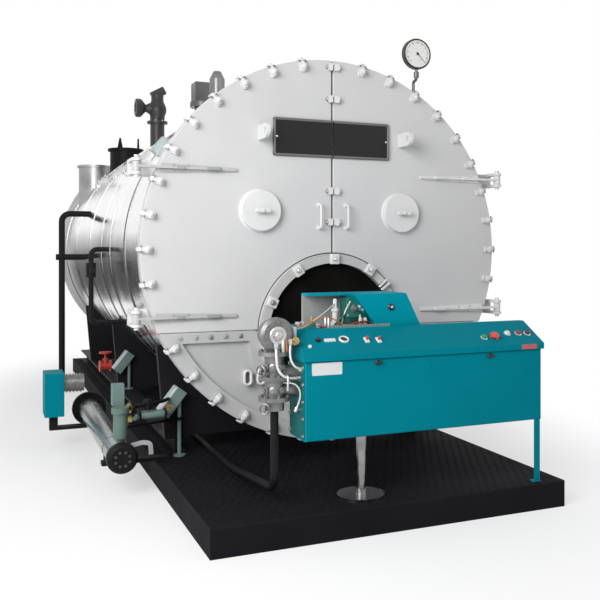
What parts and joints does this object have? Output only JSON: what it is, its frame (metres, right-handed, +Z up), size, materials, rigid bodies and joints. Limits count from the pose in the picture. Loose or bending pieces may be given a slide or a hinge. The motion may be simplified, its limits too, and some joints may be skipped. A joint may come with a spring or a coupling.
{
  "type": "industrial boiler",
  "caption": "Horizontal fire-tube boiler on a chequered plinth, with a clad round shell, hinged round front doors and an oil burner with a teal control console.",
  "frame": {"origin": "on the underside of the plinth, below the boiler axis in the plane of the door fronts", "axes": "+X to the right seen from the front, +Y to the back along the boiler axis, +Z up"},
  "size_m": [2.976, 7.08, 3.359],
  "materials": {
    "plinth_black": "satin black paint",
    "deck_black": "satin black paint on chequer plate",
    "frame_black": "satin black paint",
    "cladding": "polished sheet",
    "band_steel": "brushed",
    "ring_steel": "polished sheet",
    "plate_dark": "soot black",
    "door_silver": "semi-gloss heat-proof silver paint",
    "apron_silver": "semi-gloss heat-proof silver paint",
    "nameplate_black": "gloss black",
    "lining": "cast refractory",
    "gauge_black": "black case",
    "steel": "plain steel",
    "fitting_black": "black paint",
    "flue_grey": "grey paint",
    "body_green": "dark green paint",
    "teal_panel": "semi-gloss teal paint",
    "teal_desk": "semi-gloss teal paint",
    "teal_hood": "semi-gloss teal paint",
    "block_grey": "cast",
    "heater_silver": "sheet cladding",
    "filter_green": "grey-green paint",
    "box_pale": "moulded",
    "box_teal": "semi-gloss teal paint",
    "valve_red": "red paint",
    "pipe_brass": "drawn tube"
  },
  "bodies": {
    "boiler": {"plinth": "plinth_black", "deck_plate": "deck_black", "base_rails": "frame_black", "saddles": "frame_black", "boiler_shell": "cladding", "cladding_bands": "band_steel", "smokebox_ring": "ring_steel", "front_tube_plate": "plate_dark", "rear_cover": "door_silver", "lower_front_plate": "apron_silver", "burner_ring": "door_silver", "burner_plate": "plate_dark", "hinge_brackets": "door_silver", "pressure_gauge": "gauge_black", "gauge_syphon": "steel", "steam_valve": "fitting_black", "safety_valve": "fitting_black", "steam_nozzle": "fitting_black", "flue_outlet": "flue_grey", "feed_pipe": "fitting_black", "level_column": "fitting_black", "furnace_neck": "plate_dark", "hood_back": "block_grey", "pump_motor": "block_grey", "burner_body": "body_green", "burner_console": "teal_panel", "control_desk": "teal_desk", "burner_hood": "teal_hood", "console_leg": "teal_panel", "burner_pedestal": "steel", "valve_block": "block_grey", "oil_line": "fitting_black", "oil_preheater": "heater_silver", "preheater_ends": "fitting_black", "preheater_brackets": "frame_black", "oil_filter": "filter_green", "control_boxes": "box_pale", "terminal_box": "box_teal", "oil_pipework": "pipe_brass", "manhole": "fitting_black", "blowdown_line": "frame_black", "blowdown_valve": "valve_red"},
    "left_front_door": {"left_door": "door_silver", "left_hinge_straps": "door_silver", "left_door_plug": "door_silver", "left_door_ironwork": "door_silver", "left_rim_clamps": "door_silver", "left_nameplate": "nameplate_black", "left_door_lining": "lining"},
    "right_front_door": {"right_door": "door_silver", "right_hinge_straps": "door_silver", "right_door_plug": "door_silver", "right_door_ironwork": "door_silver", "right_rim_clamps": "door_silver", "right_nameplate": "nameplate_black", "right_door_lining": "lining"}
  },
  "joints": [
    {"name": "left_door_hinge", "type": "hinge", "parent": "boiler", "child": "left_front_door", "pos_m": [-1.266, -0.024, 1.535], "axis": [0, 0, -1], "range_deg": [0, 105]},
    {"name": "right_door_hinge", "type": "hinge", "parent": "boiler", "child": "right_front_door", "pos_m": [1.266, -0.024, 1.535], "axis": [0, 0, 1], "range_deg": [0, 105]}
  ]
}
